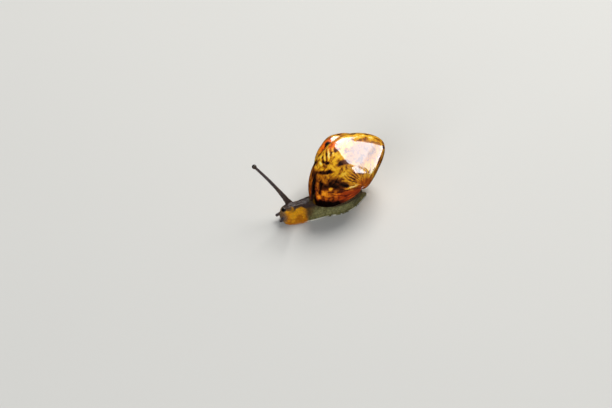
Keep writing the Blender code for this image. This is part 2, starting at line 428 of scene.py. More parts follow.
def coilPoint(sizes, turns, angle):
    # radius and height, in tubes, of the tube's wall so many turns back and so far round it
    tree = turns.tree
    size = calc(tree, "POWER", sizes["Growth Per Turn"], turns * -1.0)
    share = 2.0 / sizes["Tube Squareness"]
    cosine, sine = calc(tree, "COSINE", angle), calc(tree, "SINE", angle)
    across = calc(tree, "SIGN", cosine) * calc(tree, "ABSOLUTE", cosine) ** share
    half = between(sizes["Height To Base"], sizes["Height To Spire"], calc(tree, "GREATER_THAN", sine, 0.0))
    along = calc(tree, "SIGN", sine) * calc(tree, "ABSOLUTE", sine) ** share * half
    cosLean, sinLean = calc(tree, "COSINE", sizes["Tube Lean"]), calc(tree, "SINE", sizes["Tube Lean"])
    radius = calc(tree, "MAXIMUM", sizes["Tube From Axis"] + across * cosLean - along * sinLean, 0.0) * size
    height = (across * sinLean + along * cosLean) * size
    height = height - sizes["Tube Below Apex"] * calc(tree, "POWER", size, sizes["Spire Doming"])
    return radius, height


def seamPoint(sizes, turns):
    # the upper seam of a turn; on the oldest turn it closes in on the apex
    closing = ramp(turns, 1.9, 2.6)
    angle = between(sizes["Seam Angle"], sizes["Apex Seam Angle"], closing)
    radius, height = coilPoint(sizes, turns, angle)
    return between(radius, 0.0, closing), between(height, sizes["Apex Depth"] * -1.0, closing), angle


def stripPoint(sizes, turns, row):
    # radius, height and angle of a point on the strip of shell that shows
    tree = turns.tree
    baseAngle = sizes["Base Angle"]
    upper = clamped(row / sizes["Spire Rows"])
    lower = clamped((row - sizes["Spire Rows"]) / (sizes["Rows"] - sizes["Spire Rows"]))
    older = calc(tree, "MAXIMUM", turns - 1.0, 0.0)
    coverAngle = older * (sizes["Cover Rise"] - older * sizes["Cover Easing"]) + sizes["Cover Angle"]
    seamRadius, seamHeight, seamAngle = seamPoint(sizes, turns)
    nextRadius, nextHeight = seamPoint(sizes, turns - 1.0)[:2]
    angle = seamAngle + (coverAngle - seamAngle) * upper + (baseAngle - coverAngle) * lower
    tucked = ramp(turns, 2.9, 3.6)

    def wall(at):
        radius, height = coilPoint(sizes, turns, at)
        return between(radius, 0.0, tucked), between(height, sizes["Apex Depth"] * -1.0, tucked)

    here, top, bottom, base = wall(angle), wall(seamAngle), wall(coverAngle), wall(baseAngle)
    topShare = (1.0 - upper) ** 2.0
    bottomShare = upper ** 3.0 * (1.0 - lower) ** 2.0 * ramp(turns, 0.88, 1.0)
    baseShare = ramp(lower, 0.15, 1.0)
    radius = here[0] + (seamRadius - top[0]) * topShare + (nextRadius - bottom[0]) * bottomShare
    height = here[1] + (seamHeight - top[1]) * topShare + (nextHeight - bottom[1]) * bottomShare
    radius = radius - base[0] * baseShare
    height = height - (base[1] + sizes["Navel Depth"]) * baseShare
    return calc(tree, "MAXIMUM", radius, 0.0), height, angle


def gridOf(tree, columns, rows):
    # a flat grid and the column and row of each of its points
    made = addNode(tree, "GeometryNodeMeshGrid", {"Vertices X": columns + 1.0, "Vertices Y": rows + 1.0})
    index = nodeValue(tree, tree.nodes.new("GeometryNodeInputIndex").outputs[0])
    column = calc(tree, "FLOOR", (index + 0.5) / (rows + 1.0))
    return made.outputs["Mesh"], column, index - column * (rows + 1.0)


def stored(tree, geometry, name, value, kind="FLOAT", domain="POINT"):
    node = addNode(tree, "GeometryNodeStoreNamedAttribute", data_type=kind, domain=domain)
    tree.links.new(geometry, node.inputs["Geometry"])
    node.inputs["Name"].default_value = name
    plug(value, socketOf(node.inputs, "Value"))
    return node.outputs[0]


def read(tree, name):
    node = addNode(tree, "GeometryNodeInputNamedAttribute", data_type="FLOAT")
    node.inputs["Name"].default_value = name
    return nodeValue(tree, socketOf(node.outputs, "Attribute"))


def moved(tree, geometry, position=None, offset=None):
    node = tree.nodes.new("GeometryNodeSetPosition")
    tree.links.new(geometry, node.inputs["Geometry"])
    if position is not None:
        plug(position, node.inputs["Position"])
    if offset is not None:
        plug(offset, node.inputs["Offset"])
    return node.outputs[0]


def lifted(tree, geometry, height):
    # moves each point along its normal
    normal = nodeValue(tree, tree.nodes.new("GeometryNodeInputNormal").outputs[0])
    return moved(tree, geometry, offset=scaled(normal, height))


def coiled(sizes, tree, geometry, turns, radius, height, angle):
    # bends a grid into place and keeps its two measures for the markings
    geometry = stored(tree, geometry, "turnsBack", turns)
    geometry = stored(tree, geometry, "acrossAngle", angle)
    azimuth = turns * (2.0 * math.pi)
    half = sizes["Tube Half Width"]
    place = vectorOf(tree, calc(tree, "COSINE", azimuth) * radius * half,
                     calc(tree, "SINE", azimuth) * radius * half, height * half)
    return moved(tree, geometry, position=place)


def shellTree(finish):
    tree, sizes = newTree("coiledShell", shellSizes)
    # the coil
    columns = calc(tree, "ROUND", sizes["Turns"] * sizes["Columns Per Turn"])
    grid, column, row = gridOf(tree, columns, sizes["Rows"])
    grid = stored(tree, grid, "row", row)
    turns = column / sizes["Columns Per Turn"]
    coil = coiled(sizes, tree, grid, turns, *stripPoint(sizes, turns, row))
    older = calc(tree, "GREATER_THAN", read(tree, "turnsBack"), 1.0)
    hidden = older * calc(tree, "GREATER_THAN", read(tree, "row"), sizes["Spire Rows"])
    drop = addNode(tree, "GeometryNodeDeleteGeometry", domain="FACE")
    tree.links.new(coil, drop.inputs["Geometry"])
    plug(hidden, drop.inputs["Selection"])
    # the mouth: rings that start on the lip's edge, turn in over it and close the hollow
    around = sizes["Rows"] * 2.0 - sizes["Spire Rows"]
    mouthGrid, ring, step = gridOf(tree, sizes["Rings In Mouth"], around)
    onLip = calc(tree, "LESS_THAN", step, sizes["Rows"] + 0.5)
    lipRow = between(sizes["Rows"] * 2.0 - step, step, onLip)
    lipEnds, wallEnds, thickness = sizes["Rings On Lip"], sizes["Rings To Floor"], sizes["Lip Thickness"]
    bulge = calc(tree, "SINE", ramp(ring, 0.0, lipEnds, 0.0, math.pi, smooth=False)) * thickness
    depth = ramp(ring, lipEnds, wallEnds, smooth=False) * sizes["Mouth Depth"]
    depth = depth - bulge * sizes["Lip Bulge"]
    inset = ramp(ring, 0.0, lipEnds, smooth=False) * thickness
    inset = inset + ramp(ring, wallEnds, sizes["Rings In Mouth"], smooth=False) * (1.0 - thickness)
    radius, height, angle = stripPoint(sizes, depth + 1.0 - onLip, lipRow)
    size = calc(tree, "POWER", sizes["Growth Per Turn"], depth * -1.0)
    middle = sizes["Tube Below Apex"] * -0.98 * calc(tree, "POWER", size, sizes["Spire Doming"])
    mouth = coiled(sizes, tree, mouthGrid, depth, between(radius, sizes["Tube From Axis"] * size, inset),
                   between(height, middle, inset), angle)
    mouth = stored(tree, mouth, "row", ring * 0.0 - 1.0)
    flip = tree.nodes.new("GeometryNodeFlipFaces")
    tree.links.new(drop.outputs[0], flip.inputs[0])
    join = tree.nodes.new("GeometryNodeJoinGeometry")
    for part in (flip.outputs[0], mouth):
        tree.links.new(part, join.inputs[0])
    measure = vectorOf(tree, read(tree, "turnsBack"), read(tree, "acrossAngle"), 0.0)
    whole = stored(tree, join.outputs[0], "coil", measure, "FLOAT2", "CORNER")
    weld = addNode(tree, "GeometryNodeMergeByDistance", {"Distance": sizes["Weld Distance"]})
    tree.links.new(whole, weld.inputs["Geometry"])
    # growth wrinkles, strongest on the newest part of the upper side
    turnsBack, across = read(tree, "turnsBack"), read(tree, "acrossAngle")
    lines = noise(vectorOf(tree, turnsBack * sizes["Lines Per Turn"], across * 1.1, 3.0), 1.0, 2.0) - 0.5
    waves = noise(vectorOf(tree, turnsBack * sizes["Waves Per Turn"], across * 2.0, 8.0), 1.0, 2.0) - 0.5
    zone = bell(turnsBack, 0.16, 0.05) * bell(across, 0.05, 0.45)
    fade = ramp(turnsBack, 0.0, 0.012) * ramp(turnsBack, 2.6, 1.0, 0.25, 1.0) * ramp(across, 1.22, 1.0)
    lift = (lines * (0.55 + zone * 1.6) + waves * 0.9) * fade * sizes["Wrinkle Height"]
    endTree(tree, lifted(tree, weld.outputs[0], lift), finish)
    return tree


shellLooks = {
    "colours": [  # from the darkest bands to the palest flecks
        (0.00, (0.005, 0.002, 0.001)), (0.20, (0.022, 0.005, 0.001)), (0.38, (0.13, 0.030, 0.003)),
        (0.55, (0.52, 0.175, 0.006)), (0.70, (0.92, 0.46, 0.012)), (0.88, (1.00, 0.66, 0.05)),
        (1.00, (1.00, 0.84, 0.34)),
    ],
    "bands": [  # degrees round the tube, width in degrees, depth
        (-10, 7, 0.16), (-36, 8, 0.14), (-64, 11, 0.20), (48, 9, 0.22),
    ],
    "marks": [  # turns back, degrees round, half-length, half-width, slant in degrees a turn, light
        (0.050, -14, 0.050, 7.5, 200, -0.62), (0.128, -29, 0.021, 8.0, -880, -0.46),
        (0.152, -13, 0.011, 8.0, -1200, -0.40), (0.198, -50, 0.028, 7.0, -277, -0.42),
        (0.104, -63, 0.026, 16.0, 0, -0.34), (0.120, -84, 0.016, 10.0, 0, -0.34),
        # on the next line, the dark mark at 0.006 turns back is a painted shadow under the lip
        (0.080, -44, 0.014, 10.0, 0, -0.26), (0.006, -48, 0.020, 40.0, 0, -0.70),
        (0.117, 21, 0.012, 7.0, 0, -0.36), (0.148, 30, 0.012, 6.0, 0, -0.36),
        (2.180, 14, 0.050, 9.0, 0, -0.40), (1.181, -5, 0.017, 13.0, 0, -0.90),
        (1.274, 9, 0.016, 6.0, 0, -0.45), (0.295, 16, 0.013, 6.0, 0, -0.45),
        (0.446, -32, 0.012, 7.0, 0, -0.60), (0.441, -76, 0.010, 13.0, 0, -0.30),
        (0.415, -123, 0.030, 4.0, 264, -0.25), (0.310, -52, 0.080, 24.0, 0, -0.18),
        (0.235, -84, 0.030, 8.0, 0, -0.22), (0.126, 4, 0.016, 10.0, 0, 0.16),
        (0.208, -36, 0.012, 7.0, 0, 0.16), (0.170, -67, 0.016, 8.0, 0, 0.24),
        (0.058, -50, 0.010, 8.0, 0, 0.26), (0.038, -36, 0.012, 6.0, 0, 0.22),
        (0.082, -59, 0.007, 4.5, 0, 0.40), (0.058, -76, 0.009, 7.0, 0, 0.26),
        (0.325, -5, 0.034, 9.0, 0, 0.26), (0.370, -10, 0.020, 8.0, 0, 0.34),
        (0.352, 6, 0.010, 4.0, 0, -0.40), (0.190, -10, 0.050, 26.0, 0, 0.05),
        # the bright marks at 0.108, 0.152, 0.400 and 0.475 turns back are a painted highlight along the
        # ridge round the shell's lower side
        (0.200, -96, 0.085, 16.0, 0, -0.06), (0.108, -97, 0.020, 4.5, -450, 0.48),
        (0.152, -112, 0.028, 4.5, -220, 0.48), (0.400, -96, 0.060, 4.0, 264, 0.38),
        (0.475, -62, 0.012, 18.0, 0, 0.30),
    ],
    "stripes": [  # growth streaks on the newest shoulder, then a fan of them round the navel
        {"patch": (0.172, -1, 0.025, 14), "perTurn": 52.0, "lean": -0.045, "depth": 0.85},
        {"patch": (0.180, -90, 0.040, 10), "perTurn": 56.0, "lean": 0.035, "depth": 0.50},
    ],
    "zones": {  # softer patches: turns back, degrees round, half-length, half-width
        # the red zones round the base and the lower side hold the shell's orange-red, deepened as painted
        # shade below the ridge
        "shadedRedBand": (0.055, -98, 0.034, 20), "plain": (0.310, -50, 0.085, 25),
        "emberNew": (0.206, 13, 0.020, 14), "emberOld": (1.175, 2, 0.050, 26),
        "shadedRedSide": (0.470, -70, 0.050, 32), "shadedRedBase": (0.200, -100, 0.080, 20),
    },
    "redness": (1.0, 0.33, 0.10),
}


def patch(turns, across, back, degrees, length, width, slant=0.0):
    # 1 in the middle of a mark on the coil, falling to 0 round it; slant runs it across the turns
    away = across - math.radians(degrees)
    if slant:
        away = away - (turns - back) * math.radians(slant)
    return bell(turns, back, length) * bell(away, 0.0, math.radians(width))


def mark(turns, across, ragged, *plan):
    # a patch with a plain middle and a ragged edge
    return ramp(patch(turns, across, *plan) + ragged, 0.10, 0.80)


def shellMaterial():
    zones = shellLooks["zones"]
    made, tree, shader = newMaterial("amberShell", {
        "Roughness": 0.36, "IOR": 1.5, "Specular IOR Level": 0.12,
        "Coat Weight": 1.0, "Coat Roughness": 0.02, "Coat IOR": 1.6,
        "Subsurface Weight": 0.10, "Subsurface Radius": (1.0, 0.35, 0.08), "Subsurface Scale": 0.25 * mm,
    })
    measure = nodeValue(tree, addNode(tree, "ShaderNodeUVMap", uv_map="coil").outputs[0])
    turns, across = partsOf(measure)[:2]
    wander = noise(vectorOf(tree, turns * 38.0, across * 5.0, 4.0), 1.0, 3.0, 0.6) - 0.5
    drift = noise(vectorOf(tree, turns * 30.0, across * 4.0, 11.0), 1.0, 3.0, 0.6) - 0.5
    bentTurns, bentAcross = turns + drift * 0.014, across + wander * 0.26
    streaks = noise(vectorOf(tree, turns * 62.0, across * 1.6, 1.0), 1.0, 4.0, 0.6, 0.3)
    blotches = noise(vectorOf(tree, turns * 26.0, across * 4.5, 5.0), 1.0, 3.0, 0.55, 0.4)
    flecks = noise(vectorOf(tree, turns * 120.0, across * 7.0, 9.0), 1.0, 2.0, 0.5)
    tone = 0.69 + (streaks - 0.5) * 0.75 + (flecks - 0.5) * 0.50
    tone = tone - ramp(bentTurns, 0.140, 0.100) * 0.17  # darker towards the mouth
    ragged = (streaks - 0.5) * 0.50 + (flecks - 0.5) * 0.40
    broken = ramp(blotches, 0.40, 0.58)
    for angle, width, depth in shellLooks["bands"]:
        tone = tone - bell(bentAcross, math.radians(angle), math.radians(width)) * broken * depth
    for *plan, light in shellLooks["marks"]:
        tone = tone + mark(bentTurns, bentAcross, ragged, *plan) * light
    tone = tone - ramp(blotches, 0.52, 0.62) * 0.20
    for plan in shellLooks["stripes"]:
        phase = (turns + across * plan["lean"] + drift * 0.016) * (plan["perTurn"] * 2.0 * math.pi)
        stripes = calc(tree, "SINE", phase) * 0.5 - 0.10
        tone = tone + stripes * patch(turns, across, *plan["patch"]) * plan["depth"]
    # the base and the band below the ridge take a plainer, darker tone: partly the shell's own colour,
    # partly painted shade
    shadedBase = ramp(across, -1.78, -2.08)
    shadedRedBand = patch(turns, across, *zones["shadedRedBand"])
    tone = between(tone, 0.47 + (streaks - 0.5) * 0.55, clamped(shadedBase * 0.70 + shadedRedBand * 0.55))
    tone = between(tone, 0.46, clamped(patch(turns, across, *zones["plain"]) * 1.6) * 0.72)
    ember = clamped(patch(bentTurns, bentAcross, *zones["emberNew"]) * 1.4
                    + patch(bentTurns, bentAcross, *zones["emberOld"]) * 1.8)
    tone = tone + ember * 0.08
    colour = colourRamp(clamped(tone), shellLooks["colours"])
    # the base and the youngest whorl's shoulder are redder; on the base and the side below the ridge this
    # deeper, darker red is partly the shell's own orange-red and partly painted shade
    red = clamped(shadedBase * 0.60 + shadedRedBand * 0.8 + ember + bell(turns, 0.0, 0.05) * 0.35
                  + patch(turns, across, *zones["shadedRedSide"]) * 0.55 + ramp(turns, 0.13, 0.05) * 0.42
                  + patch(turns, across, *zones["shadedRedBase"]) * 0.20)
    reddened = addNode(tree, "ShaderNodeMix", data_type="RGBA", blend_type="MULTIPLY", clamp_factor=True)
    plug(red, reddened.inputs[0])
    plug(colour, reddened.inputs[6])
    reddened.inputs[7].default_value = (*shellLooks["redness"], 1.0)
    plug(nodeValue(tree, reddened.outputs[2]), shader.inputs["Base Color"])
    fine = noise(vectorOf(tree, turns * 420.0, across * 3.0, 2.0), 1.0, 3.0)
    plug(reliefOf(tree, fine, 0.25, 0.015 * mm), shader.inputs["Normal"])
    return made


def shellPlacement():
    turn = (Matrix.Rotation(shellCarriage["heading"], 4, "Z") @ Matrix.Rotation(shellCarriage["tip"], 4, "X")
            @ Matrix.Rotation(shellCarriage["turn"], 4, "Z"))
    half = shellSizes["Tube Half Width"]
    centre = Vector((shellSizes["Tube From Axis"], 0.0, -shellSizes["Tube Below Apex"])) * half
    return Matrix.Translation(shellCarriage["mouthCentre"] - turn @ centre) @ turn


def flatten(mesh):
    points = pointsOf(mesh)
    for heading, rise, start, fade in shellCarriage["flatter"]:
        heading, rise = math.radians(heading), math.radians(rise)
        toward = np.array((math.cos(rise) * math.cos(heading), math.cos(rise) * math.sin(heading),
                           math.sin(rise)))
        beyond = np.maximum((points - np.array(shellCarriage["middle"])) @ toward - start, 0.0)
        points += np.outer(fade * (1.0 - np.exp(-beyond / fade)) - beyond, toward)
    mesh.attributes["position"].data.foreach_set("vector", points.ravel())


def closeTip(mesh):
    # the coil starts as a pinhole at the apex, which a small cap fills
    shape = bmesh.new()
    shape.from_mesh(mesh)
    rim = [edge for edge in shape.edges if edge.is_boundary]
    made = bmesh.ops.holes_fill(shape, edges=rim, sides=0)
    bmesh.ops.triangulate(shape, faces=made["faces"])
    shape.to_mesh(mesh)
    shape.free()


def buildShell():
    finish = shellMaterial()
    bench = placed("shellBench", bpy.data.meshes.new("shellBench"))
    mesh = runTree(bench, shellTree(finish), shellSizes)
    bpy.data.objects.remove(bench)
    mesh.name = "shell_coil"
    closeTip(mesh)
    mesh.transform(shellPlacement())
    flatten(mesh)
    mesh.transform(Matrix.Scale(mm, 4))
    print("shell made,", len(mesh.polygons), "faces")
    return pieceOf("shell_coil", mesh, ["shell"])


# One skin over the whole body. The body, feelers and mantle are lofted apart, grown into
# one surface, then given their forms, their folds and their grain.
bodyPlan = {  # by stations along Y: half-width of the sole, of the flank, back, lift, bend
    "stations": (
        (-8.05, 0.30, 0.35, 1.95, 1.00, 0.00), (-7.80, 1.00, 1.05, 2.85, 0.45, 0.00),
        (-7.20, 1.42, 1.45, 3.35, 0.10, 0.00), (-6.30, 1.70, 1.60, 3.55, 0.00, 0.00),
        (-4.80, 2.00, 1.62, 3.50, 0.00, 0.00), (-2.80, 2.18, 1.80, 3.65, 0.00, 0.00),
        (0.00, 2.30, 2.15, 3.95, 0.00, 0.00), (2.80, 2.60, 2.35, 4.70, 0.00, 0.08),
        (5.00, 2.30, 2.05, 3.40, 0.00, 0.10), (7.00, 1.45, 1.20, 1.55, 0.00, -0.10),
        (9.20, 0.32, 0.30, 0.50, 0.00, -0.60),
    ),
    "flareHeight": 0.55, "roundness": 0.80, "rings": 150, "around": 72, "voxel": 0.072,
}
mantlePlan = {  # depths below the mouth in mm, each with its share of the tube's width
    "depths": ((0.05, 0.80), (0.35, 0.86), (0.55, 0.91), (0.85, 0.89), (1.10, 0.76)),
    "around": 96, "fromAxis": 0.12,
    # the mantle's colour, its own dark brown and painted shade under the shell's mouth, spreads over the
    # body within these limits
    "reach": 1.55, "fade": 0.15, "front": -3.1, "frontFade": 0.5, "above": 2.2,  # its colour, in mm
}
feelerPlans = [  # side, base, bend, tip, and radii at the three
    {"name": "upperRight", "points": ((-0.80, -5.95, 2.90), (-1.95, -8.30, 6.90), (-3.75, -11.00, 10.55)),
     "radii": (0.56, 0.34, 0.26), "eye": "eye_right", "root": 0.9, "flare": 0.14, "tip": 0.35},
    {"name": "upperLeft", "points": ((0.80, -6.25, 2.85), (2.25, -7.65, 4.65), (4.10, -9.20, 6.50)),
     "radii": (0.56, 0.38, 0.29), "eye": "eye_left", "root": 1.1, "flare": 0.12, "tip": 0.35},
    {"name": "lowerRight", "points": ((-0.55, -7.20, 1.80), (-0.75, -8.00, 1.40), (-0.95, -8.55, 1.00)),
     "radii": (0.32, 0.28, 0.26), "root": 0.4, "flare": 0.08, "tip": 0.05},
    {"name": "lowerLeft", "points": ((0.55, -7.20, 1.80), (0.75, -8.00, 1.40), (0.95, -8.55, 1.00)),
     "radii": (0.32, 0.28, 0.26), "root": 0.4, "flare": 0.08, "tip": 0.05},
]
feelerSizes = {"rings": 60, "sides": 28, "rootTaper": 0.8, "flareRings": 5.0, "checks": 40}
skinForms = [  # soft swells and dents: centre, spread and height in mm
    ((0.52, -7.95, 0.85), (0.42, 0.50, 0.45), 0.10), ((-0.52, -7.95, 0.85), (0.42, 0.50, 0.45), 0.10),
    ((0.0, -8.1, 0.95), (0.11, 0.60, 0.45), -0.16), ((0.0, -5.0, 3.6), (0.16, 3.0, 0.6), 0.05),
    ((0.34, -4.8, 3.6), (0.10, 3.2, 0.8), -0.09), ((-0.34, -4.8, 3.6), (0.10, 3.2, 0.8), -0.09),
    ((1.55, -6.4, 1.9), (0.5, 0.9, 0.8), 0.05), ((-1.55, -6.4, 1.9), (0.5, 0.9, 0.8), 0.05),
]
skinSizes = {  # mm
    "Grain Width": 0.46, "Grain Length": 0.66, "Grain Depth": 0.055,
    "Feeler Grain": 0.20, "Feeler Grain Depth": 0.018,
    "Fringe Height": 0.42, "Fringe Depth": 0.022, "Fringe Groove Depth": 0.05, "Fringe Pitch": 0.30,
}


def bodyStation(y):
    rows = np.array(bodyPlan["stations"])
    slopes = np.gradient(rows[:, 1:], rows[:, 0], axis=0)
    index = int(np.clip(np.searchsorted(rows[:, 0], y) - 1, 0, len(rows) - 2))
    step = rows[index + 1, 0] - rows[index, 0]
    t = (y - rows[index, 0]) / step
    start = (2 * t**3 - 3 * t**2 + 1) * rows[index, 1:] + (t**3 - 2 * t**2 + t) * step * slopes[index]
    end = (3 * t**2 - 2 * t**3) * rows[index + 1, 1:] + (t**3 - t**2) * step * slopes[index + 1]
    return start + end


def bodyRing(y):
    sole, flank, back, lift, bend = bodyStation(y)
    points = []
    count = bodyPlan["around"]
    for index in range(count):
        angle = math.pi * index / (count - 1)
        rise = max(math.sin(angle), 0.0) ** bodyPlan["roundness"] if 0 < index < count - 1 else 0.0
        height = (back - lift) * rise
        width = flank + (sole - flank) * math.exp(-((height / bodyPlan["flareHeight"]) ** 2))
        points.append(Vector((bend + width * math.cos(angle), y, lift + height)))
    return points


def loftInto(shape, rings):
    made = [[shape.verts.new(point) for point in ring] for ring in rings]
    for ring, following in zip(made, made[1:]):
        for index in range(len(ring)):
            after = (index + 1) % len(ring)
            shape.faces.new((ring[index], ring[after], following[after], following[index]))
    shape.faces.new(made[0])
    shape.faces.new(made[-1])


def mantleRings():
    placement = shellPlacement()
    half = shellSizes["Tube Half Width"]
    lean = shellSizes["Tube Lean"]
    rings = []
    for depth, share in mantlePlan["depths"]:
        ring = []
        for index in range(mantlePlan["around"]):
            angle = 2.0 * math.pi * index / mantlePlan["around"]
            side = shellSizes["Height To Spire"] if math.sin(angle) > 0 else shellSizes["Height To Base"]
            u, v = share * math.cos(angle), share * side * math.sin(angle)
            radius = shellSizes["Tube From Axis"] + u * math.cos(lean) - v * math.sin(lean)
            height = -shellSizes["Tube Below Apex"] + u * math.sin(lean) + v * math.cos(lean)
            radius = max(radius, mantlePlan["fromAxis"])
            ring.append(placement @ Vector((radius * half, -depth, height * half)))
        rings.append(ring)
    return rings


def feelerCurve(plan, count):
    base, bend, tip = (Vector(point) for point in plan["points"])
    control = 2.0 * bend - 0.5 * (base + tip)
    shares = [index / (count - 1) for index in range(count)]
    centres = [base * (1 - t) ** 2 + control * 2 * t * (1 - t) + tip * t ** 2 for t in shares]
    middle = 0.45 if "eye" in plan else 0.5
    radii = [float(np.interp(t, (0.0, middle, 1.0), plan["radii"])) for t in shares]
    return centres, radii


def tubeRings(centres, radii, sides):
    rings = []
    for index, (centre, radius) in enumerate(zip(centres, radii)):
        ahead, behind = centres[min(index + 1, len(centres) - 1)], centres[max(index - 1, 0)]
        along = (ahead - behind).normalized()
        across = along.cross(Vector((0.0, 0.0, 1.0))).normalized()
        up = across.cross(along)
        turns = [2.0 * math.pi * side / sides for side in range(sides)]
        rings.append([centre + (across * math.cos(turn) + up * math.sin(turn)) * radius for turn in turns])
    return rings


def nearFeelers(points):
    # 1 on the feelers, falling to 0 on the body beside them and towards their roots
    best = np.zeros(len(points))
    count = feelerSizes["checks"]
    for plan in feelerPlans:
        centres, radii = feelerCurve(plan, count)
        for share, centre, radius in zip(np.linspace(0, 1, count), centres, radii):
            away = np.linalg.norm(points - np.array(centre), axis=1)
            near = np.clip((radius * 1.45 - away) / (radius * 0.4), 0, 1)
            best = np.maximum(best, near * min(1.0, share * 1.8))
    return best


def keep(mesh, name, values):
    mesh.attributes.new(name, "FLOAT", "POINT").data.foreach_set("value", values.astype(np.float32))


def grainOf(x, y, z, sizes):
    # the long tubercles and the grooves between them
    wide = sizes["Grain Width"]
    return cells(vectorOf(x.tree, x / wide, y / sizes["Grain Length"], z / wide))


def skinTree(finish):
    tree, sizes = newTree("skinGrain", skinSizes)
    entry = sizes["Geometry"].socket
    place = nodeValue(tree, tree.nodes.new("GeometryNodeInputPosition").outputs[0])
    blur = addNode(tree, "GeometryNodeBlurAttribute", {"Iterations": 5}, data_type="FLOAT_VECTOR")
    plug(place, socketOf(blur.inputs, "Value"))
    smooth = moved(tree, entry, position=nodeValue(tree, socketOf(blur.outputs, "Value")))
    x, y, z = partsOf(place)
    feeler, mantle = read(tree, "feeler"), read(tree, "mantle")
    plateau = ramp(grainOf(x, y, z, sizes), 0.0, 0.26)
    fine = ramp(cells(scaled(place, 1.0 / sizes["Feeler Grain"])), 0.0, 0.3)
    fringe = sizes["Fringe Height"]
    onBody = ramp(z, fringe * 0.9, fringe * 1.5) * (1.0 - feeler) * (1.0 - mantle)
    inFringe = ramp(z, 0.04, 0.14) * ramp(z, fringe * 1.25, fringe * 0.9)
    along = y * (2.0 * math.pi) / sizes["Fringe Pitch"]
    ridges = calc(tree, "SINE", along + noise(place, 1.4) * 9.0) * 0.5 - 0.5
    edgeGroove = bell(z, fringe * 1.12, 0.09) * ramp(y, -7.4, -6.6)
    sink = (plateau - 1.0) * onBody * sizes["Grain Depth"]
    sink = sink + (fine - 1.0) * (feeler * 0.9 + mantle * 0.4) * sizes["Feeler Grain Depth"]
    sink = sink + ridges * inFringe * (1.0 - feeler) * sizes["Fringe Depth"]
    sink = sink - edgeGroove * (1.0 - feeler) * sizes["Fringe Groove Depth"]
    endTree(tree, lifted(tree, smooth, sink), finish)
    return tree


skinTones = {  # one colour, or the darker and the paler of a region
    "foot": ((0.12, 0.105, 0.030), (0.30, 0.28, 0.11)),
    "footSheen": (0.36, 0.35, 0.15),
    "flank": (0.10, 0.070, 0.030),
    "tail": (0.040, 0.046, 0.044),
    "footSpecks": (0.050, 0.046, 0.020),
    "amber": ((0.52, 0.165, 0.001), (0.86, 0.385, 0.006)),
    "neckBand": (0.12, 0.055, 0.018),
    "back": ((0.034, 0.020, 0.018), (0.082, 0.052, 0.044)),
    "snout": ((0.10, 0.045, 0.018), (0.24, 0.17, 0.11)),
    "feeler": ((0.042, 0.031, 0.031), (0.15, 0.118, 0.116)),
    "mantle": ((0.040, 0.024, 0.012), (0.13, 0.09, 0.04)),
    "groove": (0.03, 0.022, 0.010),
    "soleGlint": (0.80, 0.80, 0.72),
}
skinZones = {  # mm: where one region runs into the next
    "crest": 2.42, "crestRise": 0.34, "headEnds": (-3.2, -4.0), "neckBand": -3.1,
    "backEnds": (0.5, -2.2), "snout": (-7.2, -7.8), "tail": (4.0, 7.5), "soleGlint": (0.33, 0.23),
}


